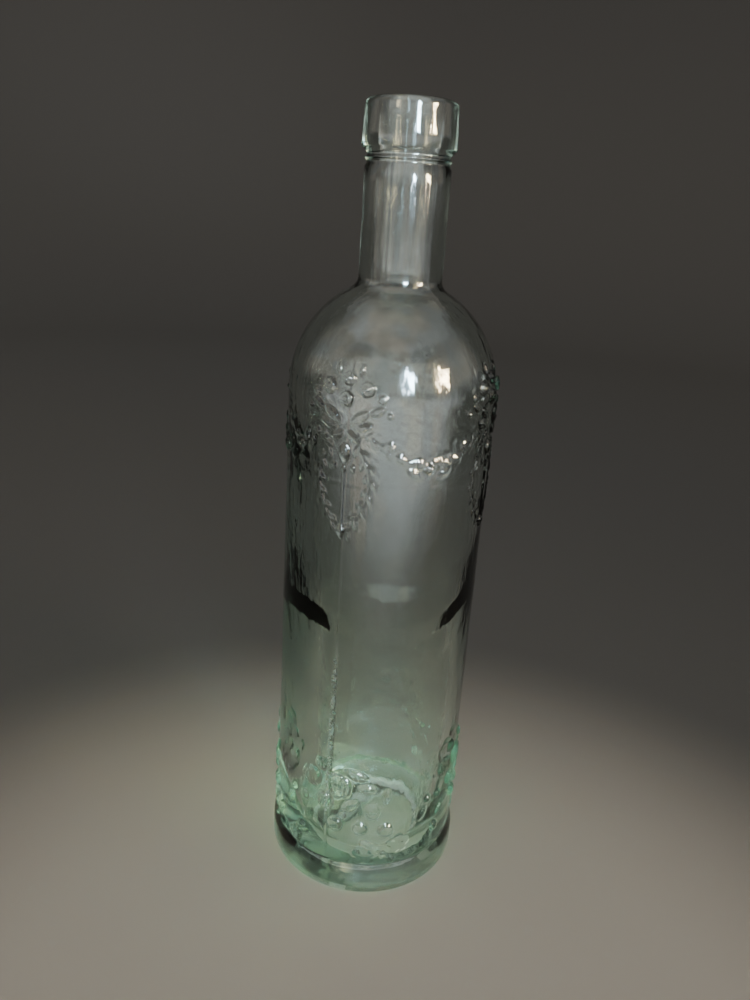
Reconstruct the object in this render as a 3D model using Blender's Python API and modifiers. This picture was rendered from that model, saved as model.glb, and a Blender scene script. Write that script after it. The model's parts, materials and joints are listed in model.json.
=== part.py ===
"""A tall oil and vinegar bottle of thick, pale green glass.

The bottle is one piece of blown glass: a round lip on a collar, a grooved throat with
a small ring, a straight neck, a round shoulder, a cylindrical body and a heel band that
stands a little proud. Inside are the bore, one chamber whose thick wall steps thicker
still below mid-height, and a rounded floor over a shallow push-up.

A raised ornament is pressed into the same glass and comes four times round the bottle:
small roses with a bow, a pendant between two drops of leaves and a swag on the shoulder,
and larger roses with berries and leaves above the heel band.

Lengths are in metres, +Z is up, and the origin is the middle of the base on the table.
"""
import math

import bmesh
import bpy

MM = 0.001

# Heights above the table
TOTAL_HEIGHT = 308.5 * MM
BODY_TOP_HEIGHT = 209.0 * MM
WAVE_TOP_HEIGHT = 128.0 * MM
WAVE_BOTTOM_HEIGHT = 117.0 * MM
BOWL_TOP_HEIGHT = 30.0 * MM
FLOOR_HEIGHT = 10.5 * MM
PUSH_UP_HEIGHT = 4.5 * MM

# Outside of the body
BODY_RADIUS = 39.5 * MM
SHOULDER_RADIUS = 42.0 * MM
NECK_RADIUS = 15.4 * MM
NECK_FLARE_RADIUS = 4.5 * MM

# Heel band and base
HEEL_RADIUS = 41.0 * MM
HEEL_BAND_HEIGHT = 13.2 * MM
HEEL_STEP_HEIGHT = 1.6 * MM
HEEL_ROUND_RADIUS = 2.6 * MM
BEARING_RING_WIDTH = 5.5 * MM

# Finish: lip, collar and throat
LIP_RADIUS = 16.2 * MM
LIP_ROUND_RADIUS = 2.2 * MM
MOUTH_ROUND_RADIUS = 1.4 * MM
COLLAR_RADIUS = 16.8 * MM
COLLAR_HEIGHT = 15.2 * MM
COLLAR_CHAMFER_HEIGHT = 1.9 * MM
THROAT_RADIUS = 14.8 * MM
THROAT_HEIGHT = 3.8 * MM
THROAT_STEP_HEIGHT = 0.7 * MM
RING_RADIUS = 15.3 * MM
RING_HEIGHT = 1.3 * MM

# Inside
BORE_RADIUS = 10.5 * MM
BORE_FLARE_RADIUS = 9.0 * MM
BODY_WALL = 5.5 * MM
SHOULDER_WALL = 4.6 * MM
UPPER_TAPER_DEPTH = 1.5 * MM
WAVE_DEPTH = 3.5 * MM
LOWER_TAPER_DEPTH = 0.9 * MM
FLOOR_FLAT_RADIUS = 19.0 * MM

# Raised ornament, once for each quarter of the bottle
SECTORS = 4
CLUSTER_TURN = math.radians(-22.5)
RELIEF_HEIGHT = 1.5 * MM
RELIEF_ROOT = 0.45 * MM
UPPER_RISE = 16.0 * MM
UPPER_DROP = 51.0 * MM
LOWER_TOP_HEIGHT = 66.0 * MM
LOWER_BOTTOM_HEIGHT = 16.0 * MM
ROSE_RADIUS = 6.2 * MM
BERRY_RADIUS = 3.2 * MM
LEAF_LENGTH = 10.5 * MM
VINE_LEAF_RADIUS = 5.4 * MM
STRING_LENGTH = 21.0 * MM
STRING_WIDTH = 1.1 * MM

# Rings of the raised forms: reach from the middle, height; the edge below is buried
ROSE_RING_SHARES = ((0, 0.85), (0.26, 1.0), (0.46, 0.42), (0.8, 0.82))
BERRY_RING_SHARES = ((0, 1.0), (0.62, 0.76))
LEAF_RING_SHARES = ((0, 0.85),)
VINE_LEAF_RING_SHARES = ((0, 0.95), (0.5, 0.55))
ROSE_LOBE_SHARE = 0.1
VINE_LEAF_LOBE_SHARE = 0.36
LEAF_WIDTH_SHARE = 0.44
STRING_CROWN_SHARE = 0.4
STRING_UP_SHARE = 0.27

# Places of the raised forms: across from the cluster's middle as a share of the sector,
# up as a share of the zone, size as a share of the form, turn in degrees. Mirrored forms
# stand on both sides of the cluster's middle line.
UPPER_ROSE_SHARES = ((0, 0.91, 0.4, 0), (0, 0.8, 0.44, 0))
UPPER_ROSE_MIRRORED_SHARES = ((0.115, 0.855, 0.43, 0),)
UPPER_BERRY_SHARES = ((0, 0.5, 0.62, 0), (0, 0.065, 0.5, 0), (0.5, 0.46, 0.56, 0))
UPPER_LEAF_MIRRORED_SHARES = (
    (0.085, 0.72, 0.9, 38),
    (0.12, 0.655, 0.8, 12),
    (0.06, 0.6, 0.62, -40),
    (0.12, 0.5, 0.54, -62),
    (0.157, 0.4, 0.54, -80),
    (0.157, 0.3, 0.54, -98),
    (0.13, 0.2, 0.54, -112),
    (0.08, 0.11, 0.54, -125),
    (0.2, 0.58, 0.62, -24),
    (0.3, 0.52, 0.62, -22),
    (0.4, 0.475, 0.62, -6),
    (0.41, 0.4, 0.66, -34),
)
LOWER_ROSE_SHARES = (
    (0.068, 0.72, 1.0, 30),
    (-0.135, 0.76, 0.74, 0),
    (-0.035, 0.53, 0.54, 0),
    (-0.05, 0.95, 0.42, 0),
    (0.43, 0.78, 0.64, 0),
    (0.56, 0.92, 0.44, 0),
)
LOWER_BERRY_SHARES = (
    (0.068, 0.36, 0.97, 0),
    (0.24, 0.35, 1.0, 0),
    (0.41, 0.33, 1.0, 0),
    (0.16, 0.47, 0.5, 0),
    (0.325, 0.46, 0.5, 0),
    (-0.19, 0.53, 0.8, 0),
    (-0.31, 0.55, 0.85, 0),
    (-0.19, 0.16, 0.85, 0),
)
LOWER_LEAF_SHARES = (
    (0.22, 0.82, 0.9, -22),
    (0.26, 0.66, 0.8, 0),
    (-0.235, 0.9, 0.8, 35),
    (-0.27, 0.7, 0.8, -15),
    (-0.14, 0.36, 0.86, 60),
    (0.02, 0.18, 0.95, -28),
    (0.17, 0.12, 0.95, -24),
    (0.55, 0.66, 0.85, -40),
    (-0.35, 0.76, 0.75, 20),
    (-0.385, 0.35, 0.9, 35),
    (0.39, 0.6, 0.7, 75),
)
LOWER_VINE_LEAF_SHARES = ((0.32, 0.1, 1.0, 90), (0.52, 0.14, 1.0, 60), (-0.1, 0.1, 0.8, 110))

# Resolution
TURN_STEPS = 40
TURN_MERGE_DISTANCE = 0.01 * MM
UNION_MERGE_DISTANCE = 0.0005 * MM
SMOOTH_ANGLE = math.radians(30)

GLASS_COLOR = (0.72, 0.86, 0.78, 1.0)
GLASS_ROUGHNESS = 0.03
GLASS_IOR = 1.52


def clear_scene():
    """Take every object out of the scene."""
    for obj in list(bpy.data.objects):
        bpy.data.objects.remove(obj, do_unlink=True)


def make_collection(name):
    """Return a new collection linked to the scene."""
    collection = bpy.data.collections.new(name)
    bpy.context.scene.collection.children.link(collection)
    return collection


def glass_material():
    """Clear glass with a pale green cast."""
    material = bpy.data.materials.new("pale_green_glass")
    material.use_nodes = True
    shader = material.node_tree.nodes["Principled BSDF"]
    shader.inputs["Base Color"].default_value = GLASS_COLOR
    shader.inputs["Roughness"].default_value = GLASS_ROUGHNESS
    shader.inputs["Metallic"].default_value = 0.0
    shader.inputs["Transmission Weight"].default_value = 1.0
    shader.inputs["IOR"].default_value = GLASS_IOR
    return material


def arc(centre, radius, start_degrees, end_degrees, count):
    """Points (r, z) on an arc, both ends included."""
    points = []
    for i in range(count + 1):
        angle = math.radians(start_degrees + (end_degrees - start_degrees) * i / count)
        r = centre[0] + radius * math.cos(angle)
        z = centre[1] + radius * math.sin(angle)
        points.append((r, z))
    return points


def shoulder(body_radius, shoulder_radius, neck_radius, flare_radius, steps, flare_steps):
    """Points from the neck down a concave flare and a convex shoulder to the body.

    The shoulder's arc ends upright on the body, and the flare is the arc that touches
    both the shoulder and the neck.
    """
    centre = (body_radius - shoulder_radius, BODY_TOP_HEIGHT)
    flare_r = neck_radius + flare_radius
    reach = shoulder_radius + flare_radius
    rise = math.sqrt(reach ** 2 - (flare_r - centre[0]) ** 2)
    flare_centre = (flare_r, centre[1] + rise)
    lean = math.degrees(math.atan2(rise, flare_r - centre[0]))
    flare = arc(flare_centre, flare_radius, 180, 180 + lean, flare_steps)
    dome = arc(centre, shoulder_radius, lean, 0, steps)
    return flare + dome[1:]


def inside_points():
    """The inner surface, from the middle of the floor up to the mouth."""
    chamber_radius = BODY_RADIUS - BODY_WALL
    low_radius = chamber_radius - UPPER_TAPER_DEPTH - WAVE_DEPTH
    bowl_radius = low_radius - LOWER_TAPER_DEPTH
    bowl_width = bowl_radius - FLOOR_FLAT_RADIUS
    bowl_depth = BOWL_TOP_HEIGHT - FLOOR_HEIGHT
    points = [(0, FLOOR_HEIGHT)]
    bowl_steps = 6
    for i in range(bowl_steps + 1):
        angle = math.pi / 2 * i / bowl_steps
        r = FLOOR_FLAT_RADIUS + bowl_width * math.sin(angle)
        z = BOWL_TOP_HEIGHT - bowl_depth * math.cos(angle)
        points.append((r, z))
    wave_steps = 4
    for i in range(wave_steps + 1):
        share = i / wave_steps
        ease = share * share * (3 - 2 * share)
        r = low_radius + WAVE_DEPTH * ease
        z = WAVE_BOTTOM_HEIGHT + (WAVE_TOP_HEIGHT - WAVE_BOTTOM_HEIGHT) * share
        points.append((r, z))
    inner_shoulder = shoulder(
        chamber_radius, SHOULDER_RADIUS - SHOULDER_WALL, BORE_RADIUS, BORE_FLARE_RADIUS, 7, 3
    )
    points += reversed(inner_shoulder)
    mouth_centre = (BORE_RADIUS + MOUTH_ROUND_RADIUS, TOTAL_HEIGHT - MOUTH_ROUND_RADIUS)
    points += arc(mouth_centre, MOUTH_ROUND_RADIUS, 180, 90, 2)
    return points


def finish_points():
    """The lip, collar, throat and ring, from the lip's flat top down to the neck."""
    lip_centre = (LIP_RADIUS - LIP_ROUND_RADIUS, TOTAL_HEIGHT - LIP_ROUND_RADIUS)
    collar_bottom = TOTAL_HEIGHT - COLLAR_HEIGHT
    throat_top = collar_bottom - COLLAR_CHAMFER_HEIGHT
    throat_bottom = throat_top - THROAT_HEIGHT
    ring_middle = throat_top - THROAT_HEIGHT / 2
    points = arc(lip_centre, LIP_ROUND_RADIUS, 90, 0, 3)
    points.append((COLLAR_RADIUS, collar_bottom))
    points.append((THROAT_RADIUS, throat_top))
    ring_steps = 2
    for i in range(ring_steps + 1):
        share = i / ring_steps
        r = THROAT_RADIUS + (RING_RADIUS - THROAT_RADIUS) * math.sin(math.pi * share)
        z = ring_middle + RING_HEIGHT * (0.5 - share)
        points.append((r, z))
    points.append((THROAT_RADIUS, throat_bottom))
    points.append((NECK_RADIUS, throat_bottom - THROAT_STEP_HEIGHT))
    return points


def base_points():
    """The heel band, the round bottom edge, the bearing ring and the push-up."""
    edge_centre = (HEEL_RADIUS - HEEL_ROUND_RADIUS, HEEL_ROUND_RADIUS)
    ring_inner_radius = edge_centre[0] - BEARING_RING_WIDTH
    points = [
        (BODY_RADIUS, HEEL_BAND_HEIGHT + HEEL_STEP_HEIGHT),
        (HEEL_RADIUS, HEEL_BAND_HEIGHT),
    ]
    points += arc(edge_centre, HEEL_ROUND_RADIUS, 0, -90, 3)
    push_up_steps = 3
    for i in range(push_up_steps + 1):
        share = 1 - i / push_up_steps
        r = ring_inner_radius * share
        z = PUSH_UP_HEIGHT * math.cos(math.pi / 2 * share)
        points.append((r, z))
    return points


def bottle_profile():
    """The whole half section, from the middle of the floor to the middle of the base."""
    outer_shoulder = shoulder(
        BODY_RADIUS, SHOULDER_RADIUS, NECK_RADIUS, NECK_FLARE_RADIUS, 9, 3
    )
    return inside_points() + finish_points() + outer_shoulder + base_points()


def turned_object(name, points, collection):
    """Turn a half section round the Z axis into one closed solid."""
    mesh = bpy.data.meshes.new(name)
    vertices = [(r, 0, z) for r, z in points]
    edges = [(i, i + 1) for i in range(len(points) - 1)]
    mesh.from_pydata(vertices, edges, [])
    obj = bpy.data.objects.new(name, mesh)
    collection.objects.link(obj)
    screw = obj.modifiers.new("turn", "SCREW")
    screw.axis = "Z"
    screw.angle = math.tau
    screw.steps = TURN_STEPS
    screw.render_steps = TURN_STEPS
    screw.use_merge_vertices = True
    screw.merge_threshold = TURN_MERGE_DISTANCE
    return obj


def make_plain_mesh(obj, merge_distance):
    """Replace an object's modifiers by the mesh that they make."""
    depsgraph = bpy.context.evaluated_depsgraph_get()
    mesh = bpy.data.meshes.new_from_object(obj.evaluated_get(depsgraph))
    obj.modifiers.clear()
    obj.data = mesh
    build = bmesh.new()
    build.from_mesh(mesh)
    bmesh.ops.remove_doubles(build, verts=build.verts, dist=merge_distance)
    build.to_mesh(mesh)
    build.free()


def wall_point(across, up, height):
    """A point at this height over the outer wall, across and up from the cluster's foot."""
    lean = math.asin(min(1, max(0, (up - BODY_TOP_HEIGHT) / SHOULDER_RADIUS)))
    reach = SHOULDER_RADIUS + height
    r = BODY_RADIUS - SHOULDER_RADIUS + reach * math.cos(lean)
    turn = across / BODY_RADIUS
    return (r * math.sin(turn), -r * math.cos(turn), up + height * math.sin(lean))


def add_form(build, middle, half_length, half_width, degrees, ring_shares, spokes, lobe_share):
    """Add one closed raised form to the mesh: rings of corners round a top corner."""
    tilt = math.radians(degrees)

    def corner(spoke, reach_share, height):
        angle = math.tau * spoke / spokes
        reach = reach_share * (1 - lobe_share * (spoke % 2))
        along = half_length * reach * math.cos(angle)
        aside = half_width * reach * math.sin(angle)
        across = middle[0] + along * math.cos(tilt) - aside * math.sin(tilt)
        up = middle[1] + along * math.sin(tilt) + aside * math.cos(tilt)
        return build.verts.new(wall_point(across, up, height))

    top = corner(0, 0, ring_shares[0][1] * RELIEF_HEIGHT)
    rings = [
        [corner(spoke, reach_share, height_share * RELIEF_HEIGHT) for spoke in range(spokes)]
        for reach_share, height_share in ring_shares[1:]
    ]
    rings.append([corner(spoke, 1, -RELIEF_ROOT) for spoke in range(spokes)])
    for spoke in range(spokes):
        beside = (spoke + 1) % spokes
        build.faces.new((top, rings[0][spoke], rings[0][beside]))
        for inner, outer in zip(rings, rings[1:]):
            build.faces.new((inner[spoke], outer[spoke], outer[beside], inner[beside]))
    build.faces.new(reversed(rings[-1]))


def add_string(build, middle, half_length, half_width):
    """Add the pendant's string, an upright bar with a narrower crown."""
    levels = ((1, -RELIEF_ROOT), (STRING_CROWN_SHARE, RELIEF_HEIGHT / 2))
    rows = []
    for width_share, height in levels:
        aside = half_width * width_share
        left = ((-aside, half_length), (-aside, -half_length))
        right = ((aside, -half_length), (aside, half_length))
        corners = left + right
        rows.append([
            build.verts.new(wall_point(middle[0] + across, middle[1] + up, height))
            for across, up in corners
        ])
    build.faces.new(reversed(rows[0]))
    build.faces.new(rows[1])
    for i in range(len(corners)):
        beside = (i + 1) % len(corners)
        build.faces.new((rows[0][i], rows[0][beside], rows[1][beside], rows[1][i]))


def mirrored_places(places):
    """The places and their mirror images about the cluster's middle line."""
    images = tuple((-across, up, size, 180 - degrees) for across, up, size, degrees in places)
    return places + images


def ornament_object(collection):
    """All raised forms as one guide object of closed solids, rooted in the glass."""
    sector = math.tau * BODY_RADIUS / SECTORS
    foot = CLUSTER_TURN * BODY_RADIUS
    upper = (BODY_TOP_HEIGHT - UPPER_DROP, BODY_TOP_HEIGHT + UPPER_RISE)
    lower = (LOWER_BOTTOM_HEIGHT, LOWER_TOP_HEIGHT)
    leaf_half_length = LEAF_LENGTH / 2
    leaf_half_width = leaf_half_length * LEAF_WIDTH_SHARE
    rose = (ROSE_RADIUS, ROSE_RADIUS, ROSE_RING_SHARES, 8, ROSE_LOBE_SHARE)
    berry = (BERRY_RADIUS, BERRY_RADIUS, BERRY_RING_SHARES, 6, 0)
    leaf = (leaf_half_length, leaf_half_width, LEAF_RING_SHARES, 6, 0)
    vine_leaf = (VINE_LEAF_RADIUS, VINE_LEAF_RADIUS, VINE_LEAF_RING_SHARES, 10, VINE_LEAF_LOBE_SHARE)
    sets = (
        (rose, upper, UPPER_ROSE_SHARES + mirrored_places(UPPER_ROSE_MIRRORED_SHARES)),
        (berry, upper, UPPER_BERRY_SHARES),
        (leaf, upper, mirrored_places(UPPER_LEAF_MIRRORED_SHARES)),
        (rose, lower, LOWER_ROSE_SHARES),
        (berry, lower, LOWER_BERRY_SHARES),
        (leaf, lower, LOWER_LEAF_SHARES),
        (vine_leaf, lower, LOWER_VINE_LEAF_SHARES),
    )
    build = bmesh.new()
    for i in range(SECTORS):
        start = foot + sector * i
        for (half_length, half_width, ring_shares, spokes, lobe_share), zone, places in sets:
            for across_share, up_share, size_share, degrees in places:
                middle = (start + sector * across_share, zone[0] + (zone[1] - zone[0]) * up_share)
                add_form(
                    build, middle, half_length * size_share, half_width * size_share,
                    degrees, ring_shares, spokes, lobe_share,
                )
        string_middle = (start, upper[0] + (upper[1] - upper[0]) * STRING_UP_SHARE)
        add_string(build, string_middle, STRING_LENGTH / 2, STRING_WIDTH / 2)
    bmesh.ops.recalc_face_normals(build, faces=build.faces)
    mesh = bpy.data.meshes.new("ornament")
    build.to_mesh(mesh)
    build.free()
    obj = bpy.data.objects.new("ornament", mesh)
    collection.objects.link(obj)
    obj.hide_render = True
    obj.display_type = "WIRE"
    return obj


def build_bottle(collection, guides):
    """The glass bottle, turned from its half section, with the ornament grown onto it."""
    bottle = turned_object("glass_bottle", bottle_profile(), collection)
    make_plain_mesh(bottle, TURN_MERGE_DISTANCE)
    grown = bottle.modifiers.new("ornament", "BOOLEAN")
    grown.operation = "UNION"
    grown.solver = "EXACT"
    grown.use_self = True
    grown.object = ornament_object(guides)
    make_plain_mesh(bottle, UNION_MERGE_DISTANCE)
    bottle.data.shade_smooth()
    bottle.data.set_sharp_from_angle(angle=SMOOTH_ANGLE)
    bottle.data.materials.append(glass_material())
    return bottle


def main():
    clear_scene()
    collection = make_collection("oil_and_vinegar_bottle")
    guides = make_collection("guides")
    build_bottle(collection, guides)


main()
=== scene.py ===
# %% [markdown]
# A tall green glass bottle for oil or vinegar, standing empty with its mouth open.
#
# The whole object is one piece of blown glass, so this lesson has one main piece and puts its
# effort into three things: a skin that is exactly closed, because glass only looks right when
# light can enter and leave it properly; a raised ornament of roses, berries, leaves and swags
# that is part of that skin; and a glass material with real depth.

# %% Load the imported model
import json
from functools import partial
from math import asin, atan2, cos, degrees, dist, exp, pi, radians, sin, sqrt, tau

import bmesh
import bpy
from mathutils import Matrix, Vector

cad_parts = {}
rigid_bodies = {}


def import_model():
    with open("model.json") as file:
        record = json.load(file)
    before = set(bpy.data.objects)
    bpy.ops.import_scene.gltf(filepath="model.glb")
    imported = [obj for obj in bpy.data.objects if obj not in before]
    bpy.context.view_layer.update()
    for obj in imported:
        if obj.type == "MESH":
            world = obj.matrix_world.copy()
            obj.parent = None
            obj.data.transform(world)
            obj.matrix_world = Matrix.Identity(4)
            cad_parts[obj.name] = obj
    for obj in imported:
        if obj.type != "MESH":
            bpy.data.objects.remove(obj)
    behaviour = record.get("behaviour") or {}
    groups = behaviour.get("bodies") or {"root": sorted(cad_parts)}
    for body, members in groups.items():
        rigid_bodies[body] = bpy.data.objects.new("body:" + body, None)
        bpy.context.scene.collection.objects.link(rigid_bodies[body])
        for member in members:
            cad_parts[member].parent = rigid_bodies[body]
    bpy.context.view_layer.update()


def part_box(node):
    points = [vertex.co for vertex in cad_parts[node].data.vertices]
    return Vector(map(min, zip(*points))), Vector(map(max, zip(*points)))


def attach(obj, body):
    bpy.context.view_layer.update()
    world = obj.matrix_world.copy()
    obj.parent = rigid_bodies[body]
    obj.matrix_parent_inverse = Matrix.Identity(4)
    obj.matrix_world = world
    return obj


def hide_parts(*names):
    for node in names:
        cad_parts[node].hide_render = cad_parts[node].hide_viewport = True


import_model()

MM = 0.001
NODE = "glass_bottle"
cad_low, cad_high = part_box(NODE)
print("packed bottle, mm:", [round(v / MM, 1) for v in cad_high - cad_low])


def add_object(name, data, collection=None):
    """A new object with this data, linked to the scene or to the collection given."""
    added = bpy.data.objects.new(name, data)
    (collection or bpy.context.scene.collection).objects.link(added)
    return added


def set_all(target, settings):
    """The target, after its properties have been set."""
    for key, value in settings.items():
        setattr(target, key, value)
    return target


# %% [markdown]
# The half section is the line that a lathe tool would follow: from the middle of the inner floor,
# up the inside, over the lip, down the outside and under the base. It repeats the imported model's
# sizes, but with closer points, because the glass bends light and every flat facet would show.
# Arcs come from one helper. Straight runs are divided too, so that the glass can be a little wavy.

# %% Sizes of the bottle
TOTAL_HEIGHT = cad_high.z
BODY_TOP = 209.0 * MM
WAVE_TOP = 128.0 * MM
WAVE_BOTTOM = 117.0 * MM
BOWL_TOP = 30.0 * MM
FLOOR_HEIGHT = 10.5 * MM
PUSH_UP_HEIGHT = 4.5 * MM
BODY_RADIUS = 39.5 * MM
SHOULDER_RADIUS = 42.0 * MM
NECK_RADIUS = 15.4 * MM
NECK_FLARE_RADIUS = 4.5 * MM
HEEL_RADIUS = 41.0 * MM
HEEL_BAND_HEIGHT = 13.2 * MM
HEEL_STEP_HEIGHT = 1.6 * MM
HEEL_ROUND_RADIUS = 2.6 * MM
BEARING_RING_WIDTH = 5.5 * MM
LIP_RADIUS = 16.2 * MM
LIP_ROUND_RADIUS = 2.2 * MM
MOUTH_ROUND_RADIUS = 1.4 * MM
COLLAR_RADIUS = 16.8 * MM
COLLAR_HEIGHT = 15.2 * MM
COLLAR_CHAMFER_HEIGHT = 1.9 * MM
THROAT_RADIUS = 14.8 * MM
THROAT_HEIGHT = 3.8 * MM
THROAT_STEP_HEIGHT = 0.7 * MM
RING_RADIUS = 15.3 * MM
RING_HEIGHT = 1.3 * MM
BORE_RADIUS = 10.5 * MM
BORE_FLARE_RADIUS = 9.0 * MM
BODY_WALL = 5.5 * MM
SHOULDER_WALL = 4.6 * MM
UPPER_TAPER_DEPTH = 1.5 * MM
WAVE_DEPTH = 3.5 * MM
LOWER_TAPER_DEPTH = 0.9 * MM
FLOOR_FLAT_RADIUS = 19.0 * MM
BOWL_FULLNESS = 0.68
HEEL_BLEND_HEIGHT = 3.0 * MM

# %% Heights of the raised ornament
UPPER_TOP = 223.8 * MM
UPPER_BOTTOM = 158.0 * MM
LOWER_TOP = 68.0 * MM
LOWER_BOTTOM = 15.2 * MM
FINE_BOTTOM = 205.5 * MM
FINE_STEP = 0.42 * MM
RELIEF_STEP = 0.80 * MM
PLAIN_STEP = 5.0 * MM
LONG_STEP = 1.5 * PLAIN_STEP
INSERT_LINE_HEIGHT = 181.2 * MM
INSERT_LINE_RISE = 0.07 * MM

# %% Number of steps on the round parts
SHOULDER_STEPS = 14
FLARE_STEPS = 6
BOWL_STEPS = 14
WAVE_STEPS = 12
MOUTH_STEPS = 4
EDGE_STEPS = 6
RING_STEPS = 6
HEEL_STEPS = 7
PUSH_UP_STEPS = 7


# %% Draw the half section
def arc(centre, radius, start_degrees, end_degrees, count):
    """Points (r, z) on an arc, both ends included."""
    points = []
    for i in range(count + 1):
        angle = radians(start_degrees + (end_degrees - start_degrees) * i / count)
        points.append((centre[0] + radius * cos(angle), centre[1] + radius * sin(angle)))
    return points


def run(start, end, step):
    """Points on a straight run at about this step, without its first point."""
    count = max(1, round(dist(start, end) / step))
    return [
        (start[0] + (end[0] - start[0]) * i / count, start[1] + (end[1] - start[1]) * i / count)
        for i in range(1, count + 1)
    ]


def ramp(share, rounded=0.2):
    """A rise from 0 to 1 that is straight in its middle and rounded at both ends."""
    if share < rounded:
        return share * share / (2 * rounded * (1 - rounded))
    if share > 1 - rounded:
        return 1 - ramp(1 - share, rounded)
    return (share - rounded / 2) / (1 - rounded)


def shoulder(body_radius, shoulder_radius, neck_radius, flare_radius):
    """The concave flare under the neck and the convex shoulder, down to the body."""
    centre = (body_radius - shoulder_radius, BODY_TOP)
    flare_r = neck_radius + flare_radius
    reach = shoulder_radius + flare_radius
    rise = sqrt(reach ** 2 - (flare_r - centre[0]) ** 2)
    lean = degrees(atan2(rise, flare_r - centre[0]))
    flare = arc((flare_r, centre[1] + rise), flare_radius, 180, 180 + lean, FLARE_STEPS)
    return flare + arc(centre, shoulder_radius, lean, 0, SHOULDER_STEPS)[1:]


def inside_points():
    """The inner surface, from the middle of the floor to the flat of the lip."""
    chamber = BODY_RADIUS - BODY_WALL
    low = chamber - UPPER_TAPER_DEPTH - WAVE_DEPTH
    bowl = low - LOWER_TAPER_DEPTH
    points = [(0, FLOOR_HEIGHT), (FLOOR_FLAT_RADIUS / 2, FLOOR_HEIGHT)]
    for i in range(BOWL_STEPS + 1):
        angle = pi / 2 * i / BOWL_STEPS
        r = FLOOR_FLAT_RADIUS + (bowl - FLOOR_FLAT_RADIUS) * sin(angle) ** BOWL_FULLNESS
        z = BOWL_TOP - (BOWL_TOP - FLOOR_HEIGHT) * cos(angle) ** BOWL_FULLNESS
        points.append((r, z))
    points += run(points[-1], (low, WAVE_BOTTOM), PLAIN_STEP)
    for i in range(1, WAVE_STEPS + 1):
        share = i / WAVE_STEPS
        z = WAVE_BOTTOM + (WAVE_TOP - WAVE_BOTTOM) * share
        points.append((low + WAVE_DEPTH * ramp(share), z))
    inner_radius = SHOULDER_RADIUS - SHOULDER_WALL
    inner = shoulder(chamber, inner_radius, BORE_RADIUS, BORE_FLARE_RADIUS)[::-1]
    points += run(points[-1], inner[0], LONG_STEP) + inner[1:]
    mouth_centre = (BORE_RADIUS + MOUTH_ROUND_RADIUS, TOTAL_HEIGHT - MOUTH_ROUND_RADIUS)
    mouth = arc(mouth_centre, MOUTH_ROUND_RADIUS, 180, 90, MOUTH_STEPS)
    return points + run(points[-1], mouth[0], LONG_STEP) + mouth[1:]


def finish_points():
    """Lip, collar, chamfer, throat and ring, from the flat of the lip down to the neck."""
    collar_bottom = TOTAL_HEIGHT - COLLAR_HEIGHT
    throat_top = collar_bottom - COLLAR_CHAMFER_HEIGHT
    throat_bottom = throat_top - THROAT_HEIGHT
    ring_middle = throat_top - THROAT_HEIGHT / 2
    lip_centre = (LIP_RADIUS - LIP_ROUND_RADIUS, TOTAL_HEIGHT - LIP_ROUND_RADIUS)
    points = arc(lip_centre, LIP_ROUND_RADIUS, 90, 0, EDGE_STEPS)
    points += run(points[-1], (COLLAR_RADIUS, collar_bottom), PLAIN_STEP)
    points += run(points[-1], (THROAT_RADIUS, throat_top), RELIEF_STEP)
    for i in range(RING_STEPS + 1):
        share = i / RING_STEPS
        r = THROAT_RADIUS + (RING_RADIUS - THROAT_RADIUS) * sin(pi * share)
        points.append((r, ring_middle + RING_HEIGHT * (0.5 - share)))
    points.append((THROAT_RADIUS, throat_bottom))
    points.append((NECK_RADIUS, throat_bottom - THROAT_STEP_HEIGHT))
    return points


def outside_points():
    """Neck, shoulder and body, with close rows where the ornament is.

    One row of the body stands a hair proud: the line where the mould's upper insert ended.
    """
    dome = shoulder(BODY_RADIUS, SHOULDER_RADIUS, NECK_RADIUS, NECK_FLARE_RADIUS)
    neck_start = finish_points()[-1]
    above = [p for p in dome if p[1] > UPPER_TOP]
    centre_r = BODY_RADIUS - SHOULDER_RADIUS
    first = degrees(asin((UPPER_TOP - BODY_TOP) / SHOULDER_RADIUS))
    dome_rows = round((UPPER_TOP - BODY_TOP) / FINE_STEP)
    points = run(neck_start, above[0], PLAIN_STEP) + above[1:]
    points += arc((centre_r, BODY_TOP), SHOULDER_RADIUS, first, 0, dome_rows)
    for top, bottom, step in (
        (BODY_TOP, FINE_BOTTOM, FINE_STEP),
        (FINE_BOTTOM, UPPER_BOTTOM, RELIEF_STEP),
        (UPPER_BOTTOM, LOWER_TOP, PLAIN_STEP),
        (LOWER_TOP, LOWER_BOTTOM, RELIEF_STEP),
    ):
        points += run((BODY_RADIUS, top), (BODY_RADIUS, bottom), step)
    return [
        (r + INSERT_LINE_RISE, z) if abs(z - INSERT_LINE_HEIGHT) < RELIEF_STEP / 2 else (r, z)
        for r, z in points
    ]


def base_points():
    """Heel band, round bottom edge, bearing ring and push-up."""
    edge_centre = (HEEL_RADIUS - HEEL_ROUND_RADIUS, HEEL_ROUND_RADIUS)
    ring_inner = edge_centre[0] - BEARING_RING_WIDTH
    step_top = HEEL_BAND_HEIGHT + HEEL_STEP_HEIGHT
    step_bottom = HEEL_BAND_HEIGHT - HEEL_BLEND_HEIGHT
    points = []
    for i in range(HEEL_STEPS + 1):
        share = i / HEEL_STEPS
        r = BODY_RADIUS + (HEEL_RADIUS - BODY_RADIUS) * sin(pi / 2 * share)
        points.append((r, step_top + (step_bottom - step_top) * share))
    points += run(points[-1], (HEEL_RADIUS, HEEL_ROUND_RADIUS), PLAIN_STEP)
    points += arc(edge_centre, HEEL_ROUND_RADIUS, 0, -90, EDGE_STEPS)[1:]
    for i in range(PUSH_UP_STEPS + 1):
        share = 1 - i / PUSH_UP_STEPS
        points.append((ring_inner * share, PUSH_UP_HEIGHT * cos(pi / 2 * share)))
    return points


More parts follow.
